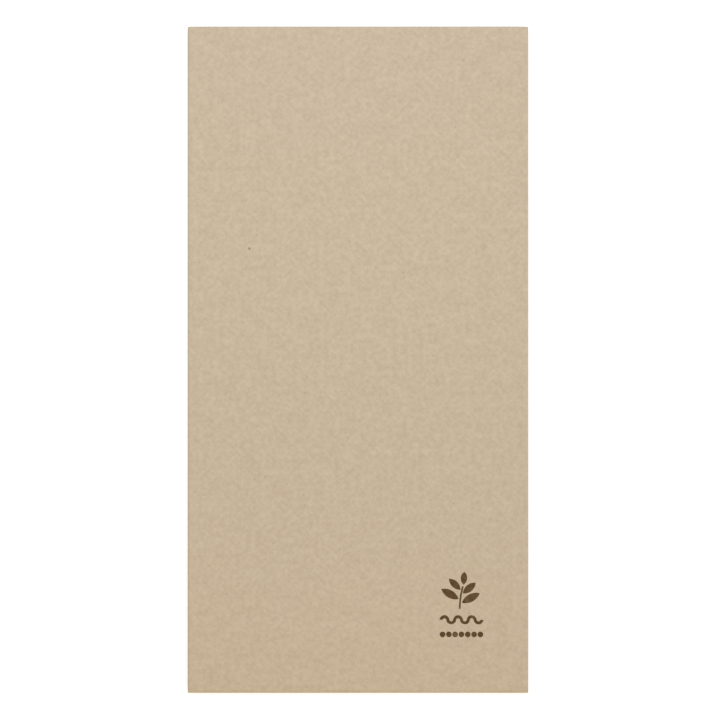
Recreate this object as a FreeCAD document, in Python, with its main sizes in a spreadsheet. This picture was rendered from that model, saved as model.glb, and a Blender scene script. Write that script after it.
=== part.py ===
import FreeCAD, Part
import math
import os
import Sketcher

# A paper napkin folded to an eighth. It is one sheet of soft paper, and sizes are in millimetres.
# The open sheet is folded lengthwise in half and in half again, to a quarter of its width.
# That strip is then folded once across its middle, so eight layers lie on each other.
# X is the folded width, Y the folded length, and Z is up.
# The origin is the middle of the underside.
# The folded edges are at -X and -Y, and the cut edges at +X and +Y.

SIZES = {
    "folded_width": 100.0,
    "folded_length": 195.7,
    "sheet_thickness": 0.25,
    # Air between two neighbouring layers of one leaf.
    "layer_gap": 0.15,
    # Air between the under leaf and the upper leaf, which the cross fold joins.
    "leaf_gap": 0.3,
    # How far the inner cut edge stays back from the outer cut edge.
    "inner_edge_setback": 0.8,
    # How far the single lengthwise fold stays back from the outer cut edge.
    "back_fold_setback": 0.5,
    # How far the under leaf's cut end stays back from the upper leaf's.
    "under_leaf_setback": 0.6,
}

# A leaf is four layers. Numbered from the outside of the napkin, 1 and 2 end in cut edges,
# the double fold joins 1 to 4 and 2 to 3, and the single fold joins 3 to 4.
LEAF_DEPTH = "(4 * Sizes.sheet_thickness + 3 * Sizes.layer_gap)"
CROSS_FOLD_RADIUS = "(" + LEAF_DEPTH + " + Sizes.leaf_gap / 2)"
SINGLE_BEND_RADIUS = "(Sizes.sheet_thickness + Sizes.layer_gap / 2)"

START, END, CENTRE = 1, 2, 3
ORIGIN_POINT = (-1, 1)
HALF_TURN = 180.0


def make_sizes(doc):
    sheet = doc.addObject("Spreadsheet::Sheet", "Sizes")
    for row, (name, value) in enumerate(SIZES.items(), start=1):
        sheet.set("A%d" % row, name)
        sheet.set("B%d" % row, str(value))
        sheet.setAlias("B%d" % row, name)
    doc.recompute()
    return sheet


def origin_plane(body, role):
    for feature in body.Origin.OriginFeatures:
        if feature.Role == role:
            return feature
    raise ValueError("no origin feature " + role)


def add_line(sketch, start, end):
    return sketch.addGeometry(Part.LineSegment(start, end), False)


def add_bend(sketch, centre, radius, bulges_left):
    first_angle = math.pi / 2 if bulges_left else -math.pi / 2
    circle = Part.Circle(centre, FreeCAD.Vector(0, 0, 1), radius)
    return sketch.addGeometry(Part.ArcOfCircle(circle, first_angle, first_angle + math.pi), False)


def draw_leaf_section(sketch):
    """Draw the four layers of one leaf as one closed outline, below the cross fold's axis.

    The outline runs once round the strip of paper: out along its outer side and back along
    its inner side. Every layer is a pair of level lines, and every fold a pair of half circles.
    """
    paper = SIZES["sheet_thickness"]
    gap = SIZES["layer_gap"]
    right = SIZES["folded_width"] / 2
    depth = 4 * paper + 3 * gap
    floor = -(depth + SIZES["leaf_gap"] / 2)
    bend = FreeCAD.Vector(-right + depth / 2, floor + depth / 2, 0)
    back_radius = paper + gap / 2
    back = FreeCAD.Vector(right - SIZES["back_fold_setback"] - back_radius,
                          floor + depth - back_radius, 0)
    inner_end = right - SIZES["inner_edge_setback"]
    under = [floor + number * (paper + gap) for number in range(4)]
    over = [height + paper for height in under]

    def point(x, height):
        return FreeCAD.Vector(x, height, 0)

    lines = {
        "layer1_under": add_line(sketch, point(right, under[0]), point(bend.x, under[0])),
        "layer1_over": add_line(sketch, point(bend.x, over[0]), point(right, over[0])),
        "layer1_end": add_line(sketch, point(right, over[0]), point(right, under[0])),
        "layer2_under": add_line(sketch, point(inner_end, under[1]), point(bend.x, under[1])),
        "layer2_over": add_line(sketch, point(bend.x, over[1]), point(inner_end, over[1])),
        "layer2_end": add_line(sketch, point(inner_end, over[1]), point(inner_end, under[1])),
        "layer3_under": add_line(sketch, point(back.x, under[2]), point(bend.x, under[2])),
        "layer3_over": add_line(sketch, point(bend.x, over[2]), point(back.x, over[2])),
        "layer4_under": add_line(sketch, point(back.x, under[3]), point(bend.x, under[3])),
        "layer4_over": add_line(sketch, point(bend.x, over[3]), point(back.x, over[3])),
    }
    bends = {
        "outer_outside": add_bend(sketch, bend, depth / 2, True),
        "outer_inside": add_bend(sketch, bend, depth / 2 - paper, True),
        "inner_outside": add_bend(sketch, bend, paper + gap / 2, True),
        "inner_inside": add_bend(sketch, bend, gap / 2, True),
        "back_outside": add_bend(sketch, back, back_radius, False),
        "back_inside": add_bend(sketch, back, gap / 2, False),
    }
    return lines, bends


def join_leaf_section(sketch, lines, bends):
    """Tie the outline's ends together: tangent where a layer runs into a fold."""
    tangents = [
        (lines["layer1_under"], END, bends["outer_outside"], END),
        (bends["outer_outside"], START, lines["layer4_over"], START),
        (lines["layer4_over"], END, bends["back_outside"], END),
        (bends["back_outside"], START, lines["layer3_under"], START),
        (lines["layer3_under"], END, bends["inner_inside"], START),
        (bends["inner_inside"], END, lines["layer2_over"], START),
        (lines["layer2_under"], END, bends["inner_outside"], END),
        (bends["inner_outside"], START, lines["layer3_over"], START),
        (lines["layer3_over"], END, bends["back_inside"], START),
        (bends["back_inside"], END, lines["layer4_under"], START),
        (lines["layer4_under"], END, bends["outer_inside"], START),
        (bends["outer_inside"], END, lines["layer1_over"], START),
    ]
    corners = [
        (lines["layer1_over"], END, lines["layer1_end"], START),
        (lines["layer1_end"], END, lines["layer1_under"], START),
        (lines["layer2_over"], END, lines["layer2_end"], START),
        (lines["layer2_end"], END, lines["layer2_under"], START),
    ]
    for ends in tangents:
        sketch.addConstraint(Sketcher.Constraint("Tangent", *ends))
    for ends in corners:
        sketch.addConstraint(Sketcher.Constraint("Coincident", *ends))
    for name, line in lines.items():
        direction = "Vertical" if name.endswith("_end") else "Horizontal"
        sketch.addConstraint(Sketcher.Constraint(direction, line))
    for name in ("outer_inside", "inner_outside", "inner_inside"):
        sketch.addConstraint(
            Sketcher.Constraint("Coincident", bends[name], CENTRE, bends["outer_outside"], CENTRE))
    sketch.addConstraint(
        Sketcher.Constraint("Coincident", bends["back_inside"], CENTRE, bends["back_outside"], CENTRE))


def drive(sketch, name, kind, first, second, expression):
    """Set the distance from one point to another, and bind it to the sizes."""
    apart = sketch.getPoint(*second) - sketch.getPoint(*first)
    distance = apart.x if kind == "DistanceX" else apart.y
    number = sketch.addConstraint(Sketcher.Constraint(kind, *first, *second, distance))
    sketch.renameConstraint(number, name)
    sketch.setExpression("Constraints." + name, expression)


def size_leaf_section(sketch, lines, bends):
    drive(sketch, "thickness", "DistanceY", (lines["layer1_end"], END), (lines["layer1_end"], START),
          "Sizes.sheet_thickness")
    drive(sketch, "outer_gap", "DistanceY", (lines["layer1_over"], START),
          (lines["layer2_under"], END), "Sizes.layer_gap")
    drive(sketch, "inner_gap", "DistanceY", (lines["layer2_over"], START),
          (lines["layer3_under"], END), "Sizes.layer_gap")
    drive(sketch, "to_fold_axis", "DistanceY", (lines["layer4_over"], START), ORIGIN_POINT,
          "Sizes.leaf_gap / 2")
    drive(sketch, "double_fold", "DistanceX", (bends["outer_outside"], CENTRE), ORIGIN_POINT,
          "Sizes.folded_width / 2 - " + LEAF_DEPTH + " / 2")
    drive(sketch, "cut_edge", "DistanceX", ORIGIN_POINT, (lines["layer1_end"], START),
          "Sizes.folded_width / 2")
    drive(sketch, "inner_setback", "DistanceX", (lines["layer2_end"], START),
          (lines["layer1_end"], START), "Sizes.inner_edge_setback")
    drive(sketch, "single_fold", "DistanceX", (bends["back_outside"], CENTRE),
          (lines["layer1_end"], START), "Sizes.back_fold_setback + " + SINGLE_BEND_RADIUS)


def leaf_section(body, name, turned_over):
    """A sketch of one leaf's section, upright where the cross fold begins.

    Its level axis is the axis of the cross fold. The upper leaf has the same section as the
    under leaf, turned half a circle about that axis.
    """
    sketch = body.newObject("Sketcher::SketchObject", name)
    sketch.AttachmentSupport = [(origin_plane(body, "XZ_Plane"), "")]
    sketch.MapMode = "FlatFace"
    turn = HALF_TURN if turned_over else 0.0
    sketch.AttachmentOffset = FreeCAD.Placement(
        FreeCAD.Vector(0, 0, 0), FreeCAD.Rotation(FreeCAD.Vector(1, 0, 0), turn))
    sketch.setExpression("AttachmentOffset.Base.y", CROSS_FOLD_RADIUS)
    sketch.setExpression("AttachmentOffset.Base.z", "Sizes.folded_length / 2 - " + CROSS_FOLD_RADIUS)
    lines, bends = draw_leaf_section(sketch)
    join_leaf_section(sketch, lines, bends)
    size_leaf_section(sketch, lines, bends)
    return sketch


def make_napkin(doc):
    body = doc.addObject("PartDesign::Body", "Napkin")
    body.Label = "napkin"
    body.Placement = FreeCAD.Placement()

    under_section = leaf_section(body, "UnderSection", turned_over=False)
    doc.recompute()

    under_leaf = body.newObject("PartDesign::Pad", "UnderLeaf")
    under_leaf.Profile = under_section
    under_leaf.Reversed = True
    under_leaf.setExpression(
        "Length", "Sizes.folded_length - " + CROSS_FOLD_RADIUS + " - Sizes.under_leaf_setback")
    doc.recompute()

    cross_fold = body.newObject("PartDesign::Revolution", "CrossFold")
    cross_fold.Profile = under_section
    cross_fold.ReferenceAxis = (under_section, ["H_Axis"])
    cross_fold.Angle = HALF_TURN
    cross_fold.Reversed = True
    doc.recompute()

    upper_section = leaf_section(body, "UpperSection", turned_over=True)
    doc.recompute()

    upper_leaf = body.newObject("PartDesign::Pad", "UpperLeaf")
    upper_leaf.Profile = upper_section
    upper_leaf.setExpression("Length", "Sizes.folded_length - " + CROSS_FOLD_RADIUS)
    doc.recompute()
    body.Tip = upper_leaf
    return body


def check(doc, parts):
    for item in doc.Objects:
        if "Invalid" in item.State or "Error" in item.State:
            raise RuntimeError(item.Name + " failed: " + str(item.State))
    for part in parts:
        shape = part.Shape
        if shape.isNull() or not shape.isValid() or len(shape.Solids) != 1:
            raise RuntimeError(part.Label + " is not one valid solid")


def report(part, sheet):
    shape = part.Shape
    box = shape.BoundBox
    flat_area = shape.Volume / sheet.get("sheet_thickness")
    print("%s: x %.2f to %.2f, y %.2f to %.2f, z %.2f to %.2f" % (
        part.Label, box.XMin, box.XMax, box.YMin, box.YMax, box.ZMin, box.ZMax))
    print("volume %.1f mm3, open sheet about %.0f mm2, %d faces" % (
        shape.Volume, flat_area, len(shape.Faces)))


def main():
    doc = FreeCAD.newDocument("PaperNapkin")
    sheet = make_sizes(doc)
    parts = [make_napkin(doc)]
    doc.recompute()
    check(doc, parts)
    os.makedirs("parts", exist_ok=True)
    for part in parts:
        report(part, sheet)
        part.Shape.exportStep("parts/" + part.Label + ".step")


main()
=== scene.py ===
# %% [markdown]
# # A folded paper napkin
#
# The object is one sheet of soft, unbleached tissue paper. It is folded to an eighth and lies on
# a table with its printed front panel up. There is nothing to assemble, so the work goes into three
# things: paper that really runs round its folds, a fine pressed pattern of dots, and a finish
# that looks like pulp and not like plastic.

# %% Load the frame
import math

import bmesh
import bpy
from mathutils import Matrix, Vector, noise
from mathutils.bvhtree import BVHTree


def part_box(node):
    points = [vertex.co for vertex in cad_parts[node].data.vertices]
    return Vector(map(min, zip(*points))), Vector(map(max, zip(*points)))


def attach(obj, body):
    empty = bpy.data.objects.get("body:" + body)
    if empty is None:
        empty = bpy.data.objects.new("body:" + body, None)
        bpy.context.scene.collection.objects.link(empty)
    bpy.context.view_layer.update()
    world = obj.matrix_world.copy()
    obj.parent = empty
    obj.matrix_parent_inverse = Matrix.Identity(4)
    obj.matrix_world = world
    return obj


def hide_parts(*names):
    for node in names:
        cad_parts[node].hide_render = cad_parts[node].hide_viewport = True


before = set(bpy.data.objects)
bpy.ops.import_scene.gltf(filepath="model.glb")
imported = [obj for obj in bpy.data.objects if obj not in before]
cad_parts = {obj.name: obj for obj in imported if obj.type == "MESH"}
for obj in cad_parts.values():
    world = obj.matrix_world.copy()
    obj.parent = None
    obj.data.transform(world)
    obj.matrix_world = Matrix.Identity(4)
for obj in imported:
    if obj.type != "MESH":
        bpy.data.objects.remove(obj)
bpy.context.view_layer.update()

# %% [markdown]
# ## Sizes
#
# The folded napkin fills its solid's box, so the width, length and height are read from there.
# The paper's thickness and the air between layers are the same as in the solid. One leaf is
# four layers, and the cross fold joins two leaves, so the rest of the height is the gap between them.

# %% Sizes
MM = 0.001
low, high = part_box("napkin")
width, length, height = high - low
right, far_end = high.x, high.y

paper = 0.25 * MM
layer_gap = 0.15 * MM
leaf_depth = 4 * paper + 3 * layer_gap
fold_radius = height / 2
print("leaf gap %.2f mm" % ((height - 2 * leaf_depth) / MM))

# The inner cut edge, the single fold and the under leaf's end stay back from the outer cut edges.
inner_edge_setback = 0.8 * MM
back_fold_setback = 0.5 * MM
under_leaf_setback = 0.6 * MM

# %% [markdown]
# ## Growing a sheet
#
# A folded sheet could be sculpted from eight flat plates, but then its folds would be glued joints.
# Here it grows as the real one is folded. Blender's spin repeats the open end of a mesh step by
# step: with no angle it draws straight on, and with an angle it goes round a fold.
# Each new point also counts how far across and along the open sheet it lies. The count is in
# dot steps, the spacing of the pressed pattern, so the pattern can follow the paper later.

# %% Grow a sheet from its open end
sheet = bmesh.new()
across = sheet.verts.layers.float.new("across")
along = sheet.verts.layers.float.new("along")


def grow(ends, steps, counts, **turn):
    """Repeat the open end step by step, and count the dot steps that each step covers."""
    for _ in range(steps):
        ends = bmesh.ops.spin(sheet, geom=ends, steps=1, **turn)["geom_last"]
        for item in ends:
            if isinstance(item, bmesh.types.BMVert):
                item[across] += counts[0]
                item[along] += counts[1]
    return ends


def run(ends, move, steps, counts):
    """Draw the open end straight out by move."""
    return grow(ends, steps, counts, cent=(0, 0, 0), axis=(0, 0, 1), angle=0, dvec=move / steps)


def bend(ends, centre, axis, half_turns, steps, counts):
    """Turn the open end round a fold by half a turn, one way or the other."""
    angle = half_turns * math.pi / steps
    return grow(ends, steps, counts, cent=centre, axis=axis, angle=angle, dvec=(0, 0, 0))


# %% [markdown]
# ## The section of one leaf
#
# The section starts at the outer cut edge, at the right. It runs along layer 1 to the double fold
# at the left, back along layer 4 to the single fold, along layer 3 into the inside of the
# double fold, and ends at the cut edge of layer 2. The outer layer gets cells four dot steps wide,
# because it will be divided once more. The layers that nobody sees get a few long cells.
#
# A fold that is spun is round. A packed napkin's folds are pressed, so each point of a fold is
# then pushed outwards a little, which keeps the fold's reach and makes its shoulders squarer.

# %% Draw the section
UP = Vector((0, 0, 1))
LEVEL = Vector((0, 1, 0))
SIDEWAYS = Vector((1, 0, 0))
FOLD_PRESS = 2.8
DOTS_TO_A_CELL = 4
CELLS_ACROSS, CELLS_ALONG = 24, 49
HIDDEN_CELLS = 8
OUTER_BEND_STEPS, SMALL_BEND_STEPS = 8, 6

panel_width = width - leaf_depth / 2
panel_length = length - fold_radius
dot_across = panel_width / (CELLS_ACROSS * DOTS_TO_A_CELL)
dot_along = panel_length / (CELLS_ALONG * DOTS_TO_A_CELL)
print("dot steps %.3f and %.3f mm" % (dot_across / MM, dot_along / MM))

start_y = far_end - under_leaf_setback
bend_x = low.x + leaf_depth / 2
back_radius = paper + layer_gap / 2
back_x = right - back_fold_setback - back_radius
inner_x = right - inner_edge_setback


def side_by(distance, steps):
    """The counts for a straight stretch across the sheet that is drawn in so many steps."""
    return (abs(distance) / steps / dot_across, 0)


def press_fold(points, centre, flat):
    """Square the shoulders of a fold. A press of 2 would leave it round."""
    for point in points:
        away = point.co - centre
        out, rise = away.dot(flat), away.z
        if out < 0 and rise:
            reach = (abs(out) ** FOLD_PRESS + abs(rise) ** FOLD_PRESS) ** (1 / FOLD_PRESS)
            pushed = math.hypot(out, rise) / reach
            point.co += (pushed - 1) * (out * flat + rise * UP)


def section():
    ends = [sheet.verts.new((right, start_y, 0))]
    double_fold = Vector((bend_x, start_y, leaf_depth / 2))
    single_fold = Vector((back_x, start_y, leaf_depth - back_radius))
    ends = run(ends, Vector((bend_x - right, 0, 0)), CELLS_ACROSS, (DOTS_TO_A_CELL, 0))
    ends = bend(ends, double_fold, LEVEL, 1, OUTER_BEND_STEPS,
                side_by(math.pi * leaf_depth / 2, OUTER_BEND_STEPS))
    there = back_x - bend_x
    ends = run(ends, Vector((there, 0, 0)), HIDDEN_CELLS, side_by(there, HIDDEN_CELLS))
    ends = bend(ends, single_fold, LEVEL, 1, SMALL_BEND_STEPS,
                side_by(math.pi * back_radius, SMALL_BEND_STEPS))
    ends = run(ends, Vector((-there, 0, 0)), HIDDEN_CELLS, side_by(there, HIDDEN_CELLS))
    ends = bend(ends, double_fold, LEVEL, -1, SMALL_BEND_STEPS,
                side_by(math.pi * layer_gap / 2, SMALL_BEND_STEPS))
    last = inner_x - bend_x
    run(ends, Vector((last, 0, 0)), HIDDEN_CELLS, side_by(last, HIDDEN_CELLS))


section()
press_fold(sheet.verts, Vector((bend_x, start_y, leaf_depth / 2)), SIDEWAYS)
strip_width = max(vert[across] for vert in sheet.verts) * dot_across
print("the section is", len(sheet.edges), "edges, opened out %.1f mm" % (strip_width / MM))

# %% [markdown]
# ## The two leaves and the cross fold
#
# The whole section is now the open end. It runs the length of the under leaf towards the
# bottom edge, spins half a turn round the cross fold with all four layers, and runs back as
# the upper leaf. So the corner where two folds meet comes out right by itself.

# %% Sweep the section round the cross fold
CROSS_FOLD_STEPS = 10
CROSS_FOLD_DOTS = 5
near_y = low.y + fold_radius

ends = list(sheet.verts) + list(sheet.edges)
ends = run(ends, Vector((0, near_y - start_y, 0)), CELLS_ALONG, (0, DOTS_TO_A_CELL))
ends = bend(ends, Vector((0, near_y, height / 2)), Vector((1, 0, 0)), -1, CROSS_FOLD_STEPS,
            (0, CROSS_FOLD_DOTS / CROSS_FOLD_STEPS))
run(ends, Vector((0, far_end - near_y, 0)), CELLS_ALONG, (0, DOTS_TO_A_CELL))
press_fold(sheet.verts, Vector((0, near_y, height / 2)), LEVEL)

dots_across = max(vert[across] for vert in sheet.verts)
dots_along = max(vert[along] for vert in sheet.verts)

# %% [markdown]
# ## Thickness
#
# What grew is the sheet's outer side. Solidify adds the inner side a paper's thickness away and
# closes the cut edges. Folded soft paper has no sharp arris anywhere except at those cut edges.
# Every point also keeps which side of the paper it is on, for the maps further down.

# %% Give the paper its thickness
bmesh.ops.recalc_face_normals(sheet, faces=list(sheet.faces))
outside = max(sheet.faces, key=lambda face: face.calc_center_median().z)
if outside.normal.z < 0:
    bmesh.ops.reverse_faces(sheet, faces=list(sheet.faces))
side = sheet.verts.layers.float.new("side")
outer_points = set(sheet.verts)
bmesh.ops.solidify(sheet, geom=list(sheet.faces), thickness=paper)
for vert in sheet.verts:
    vert[side] = 0 if vert in outer_points else 1
heights = [vert.co.z for vert in sheet.verts]
print("closed:", all(edge.is_manifold for edge in sheet.edges),
      "height %.2f to %.2f mm" % (min(heights) / MM, max(heights) / MM))

# %% [markdown]
# ## The corner between the folds
#
# Where one round fold goes round another, the corner is round from above too, and in the
# photograph it is square. So each point beside both folds is drawn out along the left edge, by as
# much as its own part of the fold falls short. Both sides of the paper take the same move at this
# point, so neither can come through the other.

# %% Square the corner
CORNER_PRESS = 0.85


def square_corner(vert):
    beside, past = bend_x - vert.co.x, near_y - vert.co.y
    if beside > 0 and past > 0:
        share = min(beside / (leaf_depth / 2), 1)
        short = 1 - (1 - share ** FOLD_PRESS) ** (1 / FOLD_PRESS)
        vert.co.y = near_y - past / (1 - CORNER_PRESS * short * leaf_depth / height)


for vert in sheet.verts:
    square_corner(vert)
print("bottom edge at %.2f mm" % (min(vert.co.y for vert in sheet.verts) / MM))

# %% [markdown]
# ## The pressed dots
#
# Tissue gets its softness from pins that press a fine lattice of dots into it. On this napkin each
# row of dots is shifted by half against the next, about 1.4 mm from dot to dot. A bump map would do
# in a picture, but up close the outer panels would be flat, so there the dots are real.
# Each cell is cut in four both ways, and every small square is poked: its middle becomes
# a point half way down the slope between a dot and the bare paper beside it.

# %% Press the dots into the two outer panels
DOT_DEPTH = 0.04 * MM
DOT_TAPER = 1.6
RIM_DOTS = 2.5
NEARLY = 0.01
# The outer panels end at the double fold, and the folded-away layers start behind it.
panel_dots = CELLS_ACROSS * DOTS_TO_A_CELL
outer_dots = panel_dots + math.pi * leaf_depth / 2 / dot_across


def on_outer_panel(vert):
    from_fold = abs(vert[along] - dots_along / 2) - CROSS_FOLD_DOTS / 2
    return vert[side] == 0 and vert[across] < panel_dots + NEARLY and from_fold > -NEARLY


def outer_panels():
    """The faces of the front panel and the back panel, on the outer side of the paper."""
    return [face for face in sheet.faces if all(on_outer_panel(vert) for vert in face.verts)]


# A dictionary keeps the edges in one order, where a set would shuffle them from run to run.
panel_edges = dict.fromkeys(edge for face in outer_panels() for edge in face.edges)
bmesh.ops.subdivide_edges(sheet, edges=list(panel_edges), cuts=DOTS_TO_A_CELL - 1, use_grid_fill=True)
bmesh.ops.poke(sheet, faces=outer_panels())
pressed = {vert for face in outer_panels() for vert in face.verts}


def fade_in(value, reach):
    """A soft step from 0 at 0 to 1 at reach."""
    share = min(max(value / reach, 0), 1)
    return share * share * (3 - 2 * share)


def dot_depth(vert):
    """1 at the bottom of a dot, 0 half way to the next, and 0 at the panel's rim."""
    lattice = math.cos(math.pi * vert[across]) * math.cos(math.pi * vert[along])
    leaf_end = dots_along / 2 - CROSS_FOLD_DOTS / 2
    to_side = min(vert[across], panel_dots - vert[across])
    from_fold = abs(vert[along] - dots_along / 2) - CROSS_FOLD_DOTS / 2
    to_end = min(from_fold, leaf_end - from_fold)
    return (0.5 + 0.5 * lattice) ** DOT_TAPER * fade_in(to_side, RIM_DOTS) * fade_in(to_end, RIM_DOTS)


sheet.normal_update()
for vert in pressed:
    inward = -1 if vert.co.z > height / 2 else 1
    vert.co.z += inward * DOT_DEPTH * dot_depth(vert)
print(len(pressed), "points on the two outer panels,", len(sheet.faces), "faces in all")

# %% [markdown]
# ## Letting it settle
#
# Fresh from the fold the layers lie as flat as boards. In a real napkin the paper springs back, so
# it is fuller along its folds, the gaps between layers open a little towards the cut
# edges, and the panel is never quite level. At each spot of the napkin a point rises by an
# amount that only grows with its height, so no layer can pass through another.
# The hidden layers also end a little unevenly. The front panel keeps its straight outline.

# %% Settle the layers
FULLER_AT_FOLDS, FOLD_REACH = 0.06, 9 * MM
WAVE, WAVE_LENGTH = 0.30 * MM, 42 * MM
RIPPLE, RIPPLE_DOTS = 0.05 * MM, 26
OPEN_REACH, CLOSED_REACH = 13 * MM, 18 * MM
OPEN_WAVE, MOST_OPEN = 24 * MM, 1.2
UNEVEN, UNEVEN_DOTS = 0.40 * MM, 30
EDGE_REACH = 14 * MM
# The uneven ends read another part of the noise than the ripple does.
UNEVEN_PART = 5 * UP
# How far each gap between two layers opens, from the table up, in millimetres.
OPENINGS = (0.04, 0.06, 0.02, 0.22, 0.04, 0.24, 0.20)

step = paper + layer_gap
leaf_gap = height - 2 * leaf_depth
gap_starts = [paper + step * number for number in range(3)] + [leaf_depth]
gap_starts += [leaf_depth + leaf_gap + start for start in gap_starts[:3]]
gap_heights = [layer_gap] * 3 + [leaf_gap] + [layer_gap] * 3
gaps = list(zip(gap_starts, gap_heights, OPENINGS))


def openness(x, y):
    """1 at the two cut edges, 0 far from them and along the two folds."""
    at_side = math.exp((x - right) / OPEN_REACH) * fade_in(y - low.y, CLOSED_REACH)
    at_end = math.exp((y - far_end) / OPEN_REACH) * fade_in(x - low.x, CLOSED_REACH)
    return min(at_side + at_end, MOST_OPEN)


def raised(x, y, z):
    """How far the open gaps below a point lift it."""
    total = 0
    for number, (start, depth, opening) in enumerate(gaps):
        passed = min(max((z - start) / depth, 0), 1)
        uneven = 0.5 + noise.noise(Vector((x / OPEN_WAVE, y / OPEN_WAVE, 3 * number)))
        total += passed * opening * MM * max(uneven, 0)
    return total * openness(x, y)


def fullness(x, y):
    """How much fuller than flat the stack lies here."""
    at_folds = math.exp((low.x - x) / FOLD_REACH) + math.exp((low.y - y) / FOLD_REACH)
    wave = noise.noise(Vector((x, y, 0)) / WAVE_LENGTH)
    return 1 + FULLER_AT_FOLDS * at_folds + WAVE / height * wave


def settle(vert):
    x, y, z = vert.co
    place = Vector((vert[across], vert[along], 0))
    hidden = fade_in(vert[across] - panel_dots, outer_dots - panel_dots)
    ripple = RIPPLE * fade_in(z, paper) * noise.noise(place / RIPPLE_DOTS)
    vert.co.z = z * fullness(x, y) + raised(x, y, z) + ripple
    uneven = UNEVEN * hidden * (noise.noise(place / UNEVEN_DOTS + UNEVEN_PART) - 0.5)
    vert.co.x += uneven * fade_in(x - right + EDGE_REACH, EDGE_REACH)
    vert.co.y += uneven * fade_in(y - far_end + EDGE_REACH, EDGE_REACH)


for vert in sheet.verts:
    settle(vert)
heights = [vert.co.z for vert in sheet.verts]
print("settled height %.2f to %.2f mm" % (min(heights) / MM, max(heights) / MM))

# %% [markdown]
# ## Two maps
#
# The finish has to follow the paper round its folds, so the first map is the open sheet itself:
# its numbers are the dot steps across and along. The second map is only for storing the finish as a
# picture. It gives nearly all its room to the front and back panels, side by side, and leaves
# narrow strips between them to the layers that are folded away, the inner side and the cut edges.

# %% Map the sheet
CUT_EDGE = math.radians(50)
MARGIN = 0.004
# Each chart of the stored picture: where it starts and how wide it is, as shares of the width.
CHARTS = {
    "front": (0.004, 0.46),
    "folded away": (0.470, 0.016),
    "inner side": (0.490, 0.016),
    "open side edge": (0.510, 0.002),
    "hidden side edge": (0.514, 0.002),
    "first end edge": (0.518, 0.002),
    "last end edge": (0.522, 0.002),
    "back": (0.528, 0.46),
}


def new_object(name, mesh):
    data = bpy.data.meshes.new(name)
    mesh.to_mesh(data)
    mesh.free()
    made = bpy.data.objects.new(name, data)
    bpy.context.collection.objects.link(made)
    return made


def chart_of(face):
    """The chart that a face belongs to."""
    sides = {vert[side] for vert in face.verts}
    places_across = [vert[across] for vert in face.verts]
    places_along = [vert[along] for vert in face.verts]
    if sides == {1}:
        return "inner side"
    if sides == {0}:
        if max(places_across) > outer_dots + NEARLY:
            return "folded away"
        return "front" if max(places_along) > dots_along / 2 + NEARLY else "back"
    if max(places_across) < NEARLY:
        return "open side edge"
    if min(places_across) > dots_across - NEARLY:
        return "hidden side edge"
    return "first end edge" if max(places_along) < NEARLY else "last end edge"


def place_in_chart(vert, chart):
    """How far across and up its chart a point lies, each from 0 to 1."""
    x, y = vert[across] / dots_across, vert[along] / dots_along
    if chart in ("front", "back"):
        return (vert[across] / outer_dots, 2 * y - 1 if chart == "front" else 2 * y)
    if chart.endswith("side edge"):
        return (vert[side], y)
    if chart.endswith("end edge"):
        return (vert[side], x)
    return (x, y)


def over_the_edge(vert, chart):
    """How far past the outer side's rim a point of a cut edge lies, in dot steps."""
    past = vert[side] * paper
    if chart.endswith("side edge"):
        return (past / dot_across * (1 if chart.startswith("hidden") else -1), 0)
    if chart.endswith("end edge"):
        return (0, past / dot_along * (1 if chart.startswith("last") else -1))
    return (0, 0)


def store_places():
    places = sheet.loops.layers.uv.new("Sheet")
    stored = sheet.loops.layers.uv.new("OFBake")
    for face in sheet.faces:
        chart = chart_of(face)
        start, chart_width = CHARTS[chart]
        for loop in face.loops:
            past = over_the_edge(loop.vert, chart)
            loop[places].uv = (loop.vert[across] + past[0], loop.vert[along] + past[1])
            x, y = place_in_chart(loop.vert, chart)
            loop[stored].uv = (start + chart_width * x, MARGIN + (1 - 2 * MARGIN) * y)


store_places()
for edge in sheet.edges:
    edge.smooth = edge.calc_face_angle(0) < CUT_EDGE
for face in sheet.faces:
    face.smooth = True
surface = BVHTree.FromBMesh(sheet)
napkin = new_object("napkin_sheet", sheet)
print(napkin.name, "has", len(napkin.data.polygons), "faces")

# %% [markdown]
# ## The printed mark
#
# Such napkins carry a small mark in one brown ink, low on the right of the front panel. This
# one is a plain sprig of leaves over a wavy line and a row of dots. Each shape is drawn flat with
# spin: a leaf is two arcs from its stalk to its tip, and a line is a short edge that travels.

# %% Draw the mark flat
MARK_X = 30.4 * MM
SPRIG_Y, WAVY_LINE_Y, DOT_ROW_Y = -67.7 * MM, -76.3 * MM, -80.6 * MM
ARC_STEPS = 10
# Each leaf: where it leaves the stalk, its side, its angle above level, its length and its breadth.
LEAVES = [
    (-3.6 * MM, 1, 28, 6.0 * MM, 2.3 * MM),
    (-2.5 * MM, -1, 30, 5.9 * MM, 2.3 * MM),
    (-0.9 * MM, 1, 40, 5.0 * MM, 2.1 * MM),
    (0.2 * MM, -1, 44, 4.7 * MM, 2.0 * MM),
    (1.7 * MM, 1, 86, 3.8 * MM, 1.9 * MM),
]
LEAF_GAP = 0.6 * MM
STALK_WIDTH, STALK_FOOT, STALK_TOP = 0.5 * MM, -5.4 * MM, 1.3 * MM
STALK_BEND = 24 * MM
WAVES, WAVE_CHORD, WAVE_SAG, WAVE_STROKE = 6, 2.0 * MM, 0.9 * MM, 0.9 * MM
DOT_COUNT, DOT_PITCH, DOT_RADIUS = 7, 1.85 * MM, 0.84 * MM
TOUCHING = 0.01 * MM

ink = bmesh.new()


def arc_radius(chord, sag):
    return (chord * chord / 4 + sag * sag) / (2 * sag)


def spin_flat(geom, centre, angle):
    made = bmesh.ops.spin(ink, geom=geom, cent=centre, axis=UP, angle=angle, steps=ARC_STEPS)
    return made["geom_last"]


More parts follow.
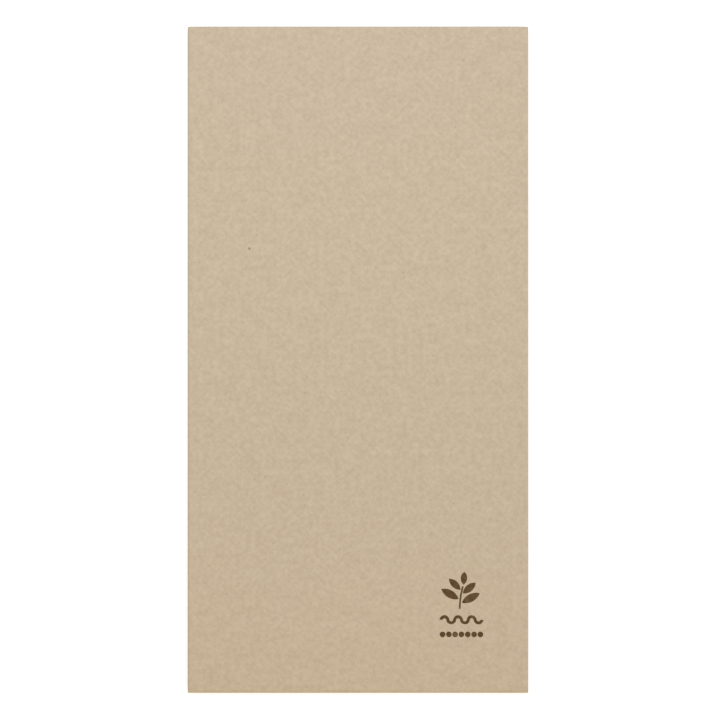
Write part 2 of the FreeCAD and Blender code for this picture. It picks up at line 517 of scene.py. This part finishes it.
def leaf(base, toward, long, broad):
    radius = arc_radius(long, broad / 2)
    angle = 2 * math.asin(long / 2 / radius)
    sideways = UP.cross(toward)
    corners = []
    before = set(ink.edges)
    for side in (1, -1):
        centre = base + toward * long / 2 - sideways * side * (radius - broad / 2)
        stalk_end = ink.verts.new(base)
        corners += [stalk_end] + spin_flat([stalk_end], centre, -side * angle)
    bmesh.ops.remove_doubles(ink, verts=corners, dist=TOUCHING)
    bmesh.ops.edgeloop_fill(ink, edges=[edge for edge in ink.edges if edge not in before])


def stroke(start, across_it, thickness):
    """A short edge, ready to travel along a line."""
    half = across_it * thickness / 2
    ends = [ink.verts.new(start - half), ink.verts.new(start + half)]
    return ends + [ink.edges.new(ends)]


def sprig(middle):
    foot = middle + Vector((-STALK_WIDTH, STALK_FOOT, 0))
    rise = STALK_TOP - STALK_FOOT
    middle_of_bend = foot + SIDEWAYS * STALK_BEND
    spin_flat(stroke(foot, SIDEWAYS, STALK_WIDTH), middle_of_bend, -rise / STALK_BEND)
    for height_on, hand, lift, long, broad in LEAVES:
        lift = math.radians(lift)
        toward = Vector((hand * math.cos(lift), math.sin(lift), 0))
        stalk_x = (height_on - STALK_FOOT) ** 2 / (2 * STALK_BEND) - STALK_WIDTH
        beside = Vector((stalk_x + hand * LEAF_GAP * math.cos(lift), height_on, 0))
        leaf(middle + beside, toward, long, broad)


def wavy_line(middle):
    radius = arc_radius(WAVE_CHORD, WAVE_SAG)
    half_angle = math.asin(WAVE_CHORD / 2 / radius)
    point = middle - Vector((WAVES * WAVE_CHORD / 2, 0, 0))
    first = point + Vector((WAVE_CHORD / 2, -radius * math.cos(half_angle), 0))
    ends = stroke(point, (point - first).normalized(), WAVE_STROKE)
    for number in range(WAVES):
        hill = 1 if number % 2 == 0 else -1
        centre = point + Vector((WAVE_CHORD / 2, -hill * radius * math.cos(half_angle), 0))
        ends = spin_flat(ends, centre, -hill * 2 * half_angle)
        point = point + Vector((WAVE_CHORD, 0, 0))


def dot_row(middle):
    for number in range(DOT_COUNT):
        made = bmesh.ops.create_circle(ink, cap_ends=True, radius=DOT_RADIUS, segments=2 * ARC_STEPS)
        shift = Vector(((number - (DOT_COUNT - 1) / 2) * DOT_PITCH, 0, 0))
        bmesh.ops.translate(ink, verts=made["verts"], vec=middle + shift)


sprig(Vector((MARK_X, SPRIG_Y, 0)))
wavy_line(Vector((MARK_X, WAVY_LINE_Y, 0)))
dot_row(Vector((MARK_X, DOT_ROW_Y, 0)))
print("the mark is", len(ink.faces), "flat faces")

# %% [markdown]
# ## Laying the mark on the paper
#
# Ink has next to no thickness, and it goes up and down with the paper. So the flat shapes are
# scored by a fine grid of cuts, and points too close together are merged. The points on the outline
# creep a little to and fro, as ink creeps along fibres, and each point drops straight down onto
# the front panel. Solidify then sinks the back of the mark into the paper, which leaves no gap
# to see into.

# %% Lay the mark on the paper
INK_GRID, SLIVER = 0.3 * MM, 0.08 * MM
INK_CREEP, CREEP_LENGTH = 0.05 * MM, 0.3 * MM
# Without a seed of its own, vector noise starts from the clock and differs from run to run.
CREEP_SEED = 1
INK_LIFT, INK_DEPTH = 0.02 * MM, 0.06 * MM


def score(axis):
    spots = [vert.co.dot(axis) for vert in ink.verts]
    cut = min(spots) + INK_GRID
    while cut < max(spots):
        everything = list(ink.verts) + list(ink.edges) + list(ink.faces)
        bmesh.ops.bisect_plane(ink, geom=everything, plane_co=axis * cut, plane_no=axis)
        cut += INK_GRID


def creep():
    noise.seed_set(CREEP_SEED)
    for vert in ink.verts:
        if vert.is_boundary:
            moved = noise.noise_vector(vert.co / CREEP_LENGTH)
            vert.co += INK_CREEP * Vector((moved.x, moved.y, 0))


def lay_down():
    for vert in ink.verts:
        hit = surface.ray_cast(Vector((vert.co.x, vert.co.y, 2 * height)), -UP)[0]
        vert.co.z = hit.z + INK_LIFT
    for face in ink.faces:
        if face.normal.z < 0:
            face.normal_flip()
    bmesh.ops.solidify(ink, geom=list(ink.faces), thickness=INK_DEPTH)


score(SIDEWAYS)
score(LEVEL)
bmesh.ops.dissolve_degenerate(ink, edges=list(ink.edges), dist=SLIVER)
ink.normal_update()
creep()
lay_down()
places = ink.loops.layers.uv.new("Sheet")
for face in ink.faces:
    face.smooth = True
    for loop in face.loops:
        x, y, _ = loop.vert.co
        loop[places].uv = ((right - x) / dot_across, dots_along - (far_end - y) / dot_along)
for edge in ink.edges:
    edge.smooth = edge.calc_face_angle(0) < CUT_EDGE
print("closed:", all(edge.is_manifold for edge in ink.edges))
mark = new_object("printed_mark", ink)
print(mark.name, "has", len(mark.data.polygons), "faces")

# %% [markdown]
# ## The frame's place for them
# The sheet takes the place of the plain solid, and both pieces ride on the only body. The napkin
# is declared as a folded sheet of the size that it opens out to, with the mark on it.

# %% Put both pieces in their place
for piece in (napkin, mark):
    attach(piece, "root")
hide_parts("napkin")

# %% [markdown]
# ## Building a finish
#
# The paper and the ink share what the paper does: its fibres, its cloudy thickness and its dots.
# Each of these is a node group with named sockets, built once and placed in both materials.
# The helpers below only add nodes and join them, so that the steps of each finish can be read.

# %% Helpers for nodes
CLOUD_ROUGHNESS = 0.6


def add(tree, kind, **settings):
    made = tree.nodes.new(kind)
    for name, value in settings.items():
        setattr(made, name, value)
    return made


def join(tree, source, target):
    tree.links.new(source, target)


def calc(tree, operation, first, second=None):
    """A Math node. Each side is a number or a socket."""
    made = add(tree, "ShaderNodeMath", operation=operation)
    for socket, value in zip(made.inputs, (first, second)):
        if isinstance(value, (int, float)):
            socket.default_value = value
        elif value is not None:
            join(tree, value, socket)
    return made.outputs[0]


def spread(tree, value, start, end, low_to=0.0, high_to=1.0):
    """Map a value's range start to end onto low_to to high_to, softly, and stop at both."""
    made = add(tree, "ShaderNodeMapRange", interpolation_type="SMOOTHSTEP")
    limits = (("From Min", start), ("From Max", end), ("To Min", low_to), ("To Max", high_to))
    for name, number in limits:
        made.inputs[name].default_value = number
    join(tree, value, made.inputs["Value"])
    return made.outputs["Result"]


def cloud(tree, place, scale, detail):
    """Noise from 0 to 1, with some detail finer than its scale."""
    made = add(tree, "ShaderNodeTexNoise", noise_dimensions="3D")
    for name, number in (("Scale", scale), ("Detail", detail), ("Roughness", CLOUD_ROUGHNESS)):
        made.inputs[name].default_value = number
    join(tree, place, made.inputs["Vector"])
    return made.outputs["Fac"]


def new_group(name, takes, gives):
    tree = bpy.data.node_groups.new(name, "ShaderNodeTree")
    for socket in takes:
        tree.interface.new_socket(name=socket, in_out="INPUT", socket_type="NodeSocketVector")
    for socket in gives:
        tree.interface.new_socket(name=socket, in_out="OUTPUT", socket_type="NodeSocketFloat")
    return tree, add(tree, "NodeGroupInput"), add(tree, "NodeGroupOutput")


# %% [markdown]
# ## Pulp
#
# Held to the light, tissue is cloudy: the pulp settled thicker in some places. Seen close, it
# is a felt of short fibres that lie every way, most of them paler than the rest and a few darker.
# Clouds are noise at two sizes. Fibres are noise too, squeezed until its spots become streaks, and
# laid several times at different angles over a slightly warped place, which bends them.
# The input is a place on the open sheet in millimetres.

# %% The pulp group
# Clouds: how many to a millimetre, how much detail they have, and their share of the whole.
WIDE_SCALE, WIDE_DETAIL, WIDE_SHARE = 0.20, 2.0, 0.20
FINE_SCALE, FINE_DETAIL, FINE_SHARE = 0.65, 3.0, 0.53
# Strands: their size in millimetres, how softly they end, how they bend, and where they start.
STRAND_LONG, STRAND_THIN, STRAND_SOFT = 1.3, 0.09, 0.14
STRAND_BEND, BEND_SCALE = 1.2, 0.7
SHIFT_X, SHIFT_Y = 9, 5
PALE_ANGLES, DARK_ANGLES = (0.3, 1.1, 1.9, 2.7), (0.7, 2.2)
PALE_FROM, DARK_FROM = 0.54, 0.64


def strands(tree, place, angle, start):
    """Short thin streaks that lie one way, where the noise is over a start."""
    laid = add(tree, "ShaderNodeMapping", vector_type="TEXTURE")
    laid.inputs["Location"].default_value = (SHIFT_X * angle, SHIFT_Y * angle, 0)
    laid.inputs["Rotation"].default_value = (0, 0, angle)
    laid.inputs["Scale"].default_value = (STRAND_LONG, STRAND_THIN, 1)
    join(tree, place, laid.inputs["Vector"])
    streaks = cloud(tree, laid.outputs["Vector"], 1.0, 1.0)
    return spread(tree, streaks, start, start + STRAND_SOFT)


def warped(tree, place):
    """The same place, moved a little to and fro."""
    wander = add(tree, "ShaderNodeTexNoise", noise_dimensions="3D")
    wander.inputs["Scale"].default_value = BEND_SCALE
    wander.inputs["Detail"].default_value = 0.0
    join(tree, place, wander.inputs["Vector"])
    moved = add(tree, "ShaderNodeVectorMath", operation="MULTIPLY_ADD")
    moved.inputs[1].default_value = (STRAND_BEND, STRAND_BEND, 0)
    join(tree, wander.outputs["Color"], moved.inputs[0])
    join(tree, place, moved.inputs[2])
    return moved.outputs["Vector"]


def pulp_group():
    tree, given, made = new_group("pulp", ["Place"], ["Cloud", "Fibre", "Dark Fibre"])
    place = given.outputs["Place"]
    wide = cloud(tree, place, WIDE_SCALE, WIDE_DETAIL)
    fine = cloud(tree, place, FINE_SCALE, FINE_DETAIL)
    mixed = calc(tree, "ADD", calc(tree, "MULTIPLY", wide, WIDE_SHARE),
                 calc(tree, "MULTIPLY", fine, FINE_SHARE))
    rest = 0.5 * (1 - WIDE_SHARE - FINE_SHARE)
    join(tree, calc(tree, "ADD", mixed, rest), made.inputs["Cloud"])
    bent = warped(tree, place)
    kinds = (("Fibre", PALE_ANGLES, PALE_FROM), ("Dark Fibre", DARK_ANGLES, DARK_FROM))
    for socket, angles, start in kinds:
        felt = 0.0
        for angle in angles:
            felt = calc(tree, "MAXIMUM", felt, strands(tree, bent, angle, start))
        join(tree, felt, made.inputs[socket])
    return tree


pulp = pulp_group()

# %% [markdown]
# ## Dots in the finish
#
# The pressed dots of the outer panels are real, but the layers between them are too many to press
# one by one, and the modelled ones have only one point at each top and bottom. This group repeats
# the same lattice as a depth from 0 to 1, which shades the slopes between. Its input
# is the sheet map itself, so it falls exactly on the dots that are modelled.

# %% The pressed dots group
def dots_group():
    tree, given, made = new_group("pressed_dots", ["Dot Steps"], ["Depth"])
    split = add(tree, "ShaderNodeSeparateXYZ")
    join(tree, given.outputs["Dot Steps"], split.inputs["Vector"])
    turns = [calc(tree, "COSINE", calc(tree, "MULTIPLY", split.outputs[axis], math.pi)) for axis in "XY"]
    lattice = calc(tree, "ADD", calc(tree, "MULTIPLY", calc(tree, "MULTIPLY", *turns), 0.5), 0.5)
    join(tree, calc(tree, "POWER", lattice, DOT_TAPER), made.inputs["Depth"])
    return tree


pressed_dots = dots_group()

# %% [markdown]
# ## Specks
#
# Unbleached pulp keeps a few dark specks of bark. The photograph shows a handful on the front
# panel, the darkest of them high on the left. Those are placed one by one, from the panel's
# middle, and a sparse scatter of fainter ones covers the rest of the sheet.

# %% The specks group
# Each speck: its place from the panel's middle, how dark it is, and its radius in millimetres.
SPECKS = [
    ((-31.9, 32.7), 0.55, 0.62),
    ((31.0, 88.0), 0.25, 0.55),
    ((13.4, 25.7), 0.25, 0.50),
    ((-30.4, -35.1), 0.22, 0.55),
    ((-15.7, -42.8), 0.22, 0.50),
]
SPECK_HEART = 0.2
# The scatter: one cell in how many millimetres may hold a speck, how large it is in its cell, how
# rarely a cell has one, and how dark it is.
SCATTER_SCALE, SCATTER_DARK = 0.09, 0.4
SCATTER_HEART, SCATTER_RIM = 0.006, 0.024
SCATTER_CHANCE = 0.55


def sheet_place(x, y):
    """Where a point of the front panel lies on the open sheet, in millimetres."""
    return (right / MM - x, dots_along * dot_along / MM - (far_end / MM - y), 0)


def specks_group():
    tree, given, made = new_group("pulp_specks", ["Place"], ["Speck"])
    place = given.outputs["Place"]
    cells = add(tree, "ShaderNodeTexVoronoi", voronoi_dimensions="2D")
    cells.inputs["Scale"].default_value = SCATTER_SCALE
    join(tree, place, cells.inputs["Vector"])
    rim = spread(tree, cells.outputs["Distance"], SCATTER_HEART, SCATTER_RIM)
    middle = calc(tree, "SUBTRACT", 1.0, rim)
    chance = add(tree, "ShaderNodeSeparateColor")
    join(tree, cells.outputs["Color"], chance.inputs["Color"])
    chosen = spread(tree, chance.outputs["Red"], SCATTER_CHANCE, 1.0)
    speck = calc(tree, "MULTIPLY", calc(tree, "MULTIPLY", middle, chosen), SCATTER_DARK)
    for where, dark, radius in SPECKS:
        away = add(tree, "ShaderNodeVectorMath", operation="DISTANCE")
        away.inputs[1].default_value = sheet_place(*where)
        join(tree, place, away.inputs[0])
        spot = spread(tree, away.outputs["Value"], radius * SPECK_HEART, radius, dark, 0.0)
        speck = calc(tree, "MAXIMUM", speck, spot)
    join(tree, speck, made.inputs["Speck"])
    return tree


pulp_specks = specks_group()

# %% [markdown]
# ## The paper and the ink
#
# Both finishes start from the same surface. Fibres and clouds lift it, and dots lower it.
# The paper is matt with hardly any shine. Its colour wavers a little with the cloud, most fibres
# are paler, some are darker, and specks are dark. The bottoms of the pressed dots are painted a little
# darker, partly as pressed pulp and partly as painted shade in their pits. The ink is the same
# surface under a thin brown film, which lies unevenly because it sinks into the felt.

# %% The two materials
PAPER_DARK, PAPER_PALE = (0.514, 0.410, 0.282, 1), (0.624, 0.517, 0.366, 1)
FIBRE_PALE, FIBRE_DARK = (0.745, 0.642, 0.495, 1), (0.260, 0.190, 0.110, 1)
# The dark speck colour also darkens the bottoms of the pressed dots: partly pressed pulp, partly painted
# shade.
SPECK_AND_PIT_SHADE = (0.080, 0.055, 0.030, 1)
PALE_SHARE, DARK_SHARE = 0.18, 0.19
INK_DARK, INK_THIN = (0.085, 0.050, 0.016, 1), (0.175, 0.112, 0.050, 1)
FIBRE_LIFT, CLOUD_LIFT = 0.18, 0.9
# How far the bottom of a dot is painted towards the dark colour, partly pressed pulp and partly painted
# shade.
DOT_SHADE = 0.018
# The range of the cloud's values that a colour or a roughness spreads over.
CLOUD_LOW, CLOUD_HIGH = 0.3, 0.7
PAPER_ROUGHNESS, PAPER_SHINE, PAPER_SHEEN = (0.96, 0.88), 0.15, 0.1
INK_ROUGHNESS, INK_SHINE = (0.75, 0.90), 0.1
THIN_FROM, THIN_ON_FIBRES = 0.42, 0.3
# A Mix node has sockets for numbers, vectors and colours, and these are the colour ones.
MIX_FIRST, MIX_SECOND, MIX_RESULT = 6, 7, 2


def mixed_colour(tree, share, first, second):
    """A colour mix. Each colour is four numbers or a socket."""
    made = add(tree, "ShaderNodeMix", data_type="RGBA")
    join(tree, share, made.inputs["Factor"])
    for socket, value in ((MIX_FIRST, first), (MIX_SECOND, second)):
        if isinstance(value, tuple):
            made.inputs[socket].default_value = value
        else:
            join(tree, value, made.inputs[socket])
    return made.outputs[MIX_RESULT]


def placed_group(tree, group, source):
    """A group placed in a material, fed with one place. Gives its outputs."""
    made = add(tree, "ShaderNodeGroup", node_tree=group)
    join(tree, source, made.inputs[0])
    return made.outputs


def paper_surface(name):
    """A matt material with the paper's bump, and the parts of it that the colour needs."""
    material = bpy.data.materials.new(name)
    material.use_nodes = True
    tree = material.node_tree
    shader = tree.nodes["Principled BSDF"]
    steps = add(tree, "ShaderNodeUVMap", uv_map="Sheet").outputs["UV"]
    scaled = add(tree, "ShaderNodeMapping")
    scaled.inputs["Scale"].default_value = (dot_across / MM, dot_along / MM, 1)
    join(tree, steps, scaled.inputs["Vector"])
    place = scaled.outputs["Vector"]
    fibres = placed_group(tree, pulp, place)
    dots = placed_group(tree, pressed_dots, steps)
    raised = calc(tree, "ADD", calc(tree, "MULTIPLY", fibres["Fibre"], FIBRE_LIFT),
                  calc(tree, "MULTIPLY", fibres["Cloud"], CLOUD_LIFT))
    raised = calc(tree, "SUBTRACT", raised, dots["Depth"])
    bump = add(tree, "ShaderNodeBump")
    bump.inputs["Strength"].default_value = 1.0
    bump.inputs["Distance"].default_value = DOT_DEPTH
    join(tree, raised, bump.inputs["Height"])
    join(tree, bump.outputs["Normal"], shader.inputs["Normal"])
    return material, tree, shader, fibres, dots, place


def paper_material():
    material, tree, shader, fibres, dots, place = paper_surface("kraft_tissue")
    thick = spread(tree, fibres["Cloud"], CLOUD_LOW, CLOUD_HIGH)
    felted = mixed_colour(tree, thick, PAPER_DARK, PAPER_PALE)
    # The third share paints the pressed dots darker: partly pressed pulp, partly painted shade in their
    # pits.
    shares = [calc(tree, "MULTIPLY", fibres["Fibre"], PALE_SHARE),
              calc(tree, "MULTIPLY", fibres["Dark Fibre"], DARK_SHARE),
              calc(tree, "MULTIPLY", dots["Depth"], DOT_SHADE)]
    for share, colour in zip(shares, (FIBRE_PALE, FIBRE_DARK, SPECK_AND_PIT_SHADE)):
        felted = mixed_colour(tree, share, felted, colour)
    speck = placed_group(tree, pulp_specks, place)["Speck"]
    join(tree, mixed_colour(tree, speck, felted, SPECK_AND_PIT_SHADE), shader.inputs["Base Color"])
    rough = spread(tree, fibres["Cloud"], CLOUD_LOW, CLOUD_HIGH, *PAPER_ROUGHNESS)
    join(tree, rough, shader.inputs["Roughness"])
    shader.inputs["Specular IOR Level"].default_value = PAPER_SHINE
    shader.inputs["Sheen Weight"].default_value = PAPER_SHEEN
    return material


def ink_material():
    material, tree, shader, fibres, _, _ = paper_surface("brown_ink")
    thin = calc(tree, "ADD", spread(tree, fibres["Cloud"], THIN_FROM, CLOUD_HIGH),
                calc(tree, "MULTIPLY", fibres["Fibre"], THIN_ON_FIBRES))
    join(tree, mixed_colour(tree, thin, INK_DARK, INK_THIN), shader.inputs["Base Color"])
    rough = spread(tree, fibres["Cloud"], CLOUD_LOW, CLOUD_HIGH, *INK_ROUGHNESS)
    join(tree, rough, shader.inputs["Roughness"])
    shader.inputs["Specular IOR Level"].default_value = INK_SHINE
    return material


napkin.data.materials.append(paper_material())
mark.data.materials.append(ink_material())
print("materials:", [item.name for item in bpy.data.materials])

# %% [markdown]
# ## Floor and light
#
# The photograph is a plain cut-out on white. The floor is white paint with a little cool light of
# its own for the camera alone, just enough to make up for the warm room, so it shows as white and
# still takes the napkin's faint shadow.
# Light comes from three places: a pale room, a soft cool lamp hung close over the top
# half, and a soft warm light from far off to the lower right. The near lamp makes the top of the
# panel a little brighter and cooler than the bottom, as in the photograph. The far light keeps
# the bottom fold bright, and shades the left fold and the pressed dots.

# %% Floor, room and lamps
FLOOR_SIZE = 6.0
FLOOR_PAINT = (0.92, 0.92, 0.92, 1)
FLOOR_GLOW_COLOUR, FLOOR_GLOW = (0.90, 0.94, 1.0, 1), 0.43
# The near lamp's power is in watts, the far light's in watts on each square metre.
ROOM_COLOUR, ROOM_LIGHT = (1.093, 1.0, 0.889, 1), 0.630
NEAR_PLACE, NEAR_SIZE = Vector((0, 0.14, 0.30)), 0.35
NEAR_COLOUR, NEAR_POWER = (0.70, 1.0, 1.41), 0.409
FAR_PLACE, FAR_SOFTNESS = Vector((0.694, -0.603, 0.771)), 0.6
FAR_COLOUR, FAR_POWER = (1.25, 1.0, 0.75), 0.57


def camera_sees(tree):
    """1 for what the camera sees, also by reflection or through glass."""
    rays = add(tree, "ShaderNodeLightPath")
    seen = calc(tree, "MAXIMUM", rays.outputs["Is Camera Ray"], rays.outputs["Is Glossy Ray"])
    return calc(tree, "MAXIMUM", seen, rays.outputs["Is Transmission Ray"])


def make_floor():
    mesh = bmesh.new()
    bmesh.ops.create_grid(mesh, x_segments=1, y_segments=1, size=FLOOR_SIZE / 2)
    floor = new_object("floor", mesh)
    material = bpy.data.materials.new("floor_paint")
    material.use_nodes = True
    tree = material.node_tree
    shader = tree.nodes["Principled BSDF"]
    shader.inputs["Base Color"].default_value = FLOOR_PAINT
    shader.inputs["Roughness"].default_value = 1.0
    shader.inputs["Specular IOR Level"].default_value = 0.0
    shader.inputs["Emission Color"].default_value = FLOOR_GLOW_COLOUR
    join(tree, calc(tree, "MULTIPLY", camera_sees(tree), FLOOR_GLOW), shader.inputs["Emission Strength"])
    floor.data.materials.append(material)


def light_room():
    world = bpy.data.worlds.new("room")
    bpy.context.scene.world = world
    world.use_nodes = True
    tree = world.node_tree
    room = tree.nodes["Background"]
    room.inputs["Color"].default_value = ROOM_COLOUR
    room.inputs["Strength"].default_value = ROOM_LIGHT
    white = add(tree, "ShaderNodeBackground")
    white.inputs["Color"].default_value = (1, 1, 1, 1)
    either = add(tree, "ShaderNodeMixShader")
    join(tree, camera_sees(tree), either.inputs["Fac"])
    join(tree, room.outputs["Background"], either.inputs[1])
    join(tree, white.outputs["Background"], either.inputs[2])
    join(tree, either.outputs["Shader"], tree.nodes["World Output"].inputs["Surface"])


def hang_lamp(name, kind, place, power, colour):
    """A lamp that points at the middle of the floor."""
    lamp = bpy.data.lights.new(name, kind)
    lamp.energy = power
    lamp.color = colour
    made = bpy.data.objects.new(name, lamp)
    made.location = place
    made.rotation_euler = (-place).to_track_quat("-Z", "Y").to_euler()
    made.visible_camera = False
    bpy.context.collection.objects.link(made)
    return lamp


make_floor()
light_room()
near_lamp = hang_lamp("near_cool_lamp", "AREA", NEAR_PLACE, NEAR_POWER, NEAR_COLOUR)
near_lamp.size = NEAR_SIZE
far_light = hang_lamp("far_warm_light", "SUN", FAR_PLACE, FAR_POWER, FAR_COLOUR)
far_light.angle = FAR_SOFTNESS
bpy.context.scene.view_settings.view_transform = "Standard"

# %% [markdown]
# ## Camera
#
# The photograph looks straight down on the panel from far off, so its outline is an exact
# rectangle. The camera hangs a metre and a half up with a long lens. The lens is worked out so
# that the panel is as many pixels wide as in the photograph, and the camera stands off the
# panel's middle by as much as the panel is off the picture's middle.

# %% Camera
FRAME_PIXELS = 720
FRAME_MIDDLE = (FRAME_PIXELS - 1) / 2
PHOTO_MIDDLE = (357.44, 359.43)
PHOTO_PANEL_WIDTH = 340.55
CAMERA_HEIGHT = 1.5
pixel = width / PHOTO_PANEL_WIDTH


def make_camera():
    lens = bpy.data.cameras.new("camera")
    seen = FRAME_PIXELS * pixel
    lens.lens = lens.sensor_width * (CAMERA_HEIGHT - height) / seen
    made = bpy.data.objects.new("camera", lens)
    x = (FRAME_MIDDLE - PHOTO_MIDDLE[0]) * pixel
    y = (PHOTO_MIDDLE[1] - FRAME_MIDDLE) * pixel
    made.location = (x, y, CAMERA_HEIGHT)
    bpy.context.collection.objects.link(made)
    bpy.context.scene.camera = made
    print("lens %.0f mm" % lens.lens)


make_camera()
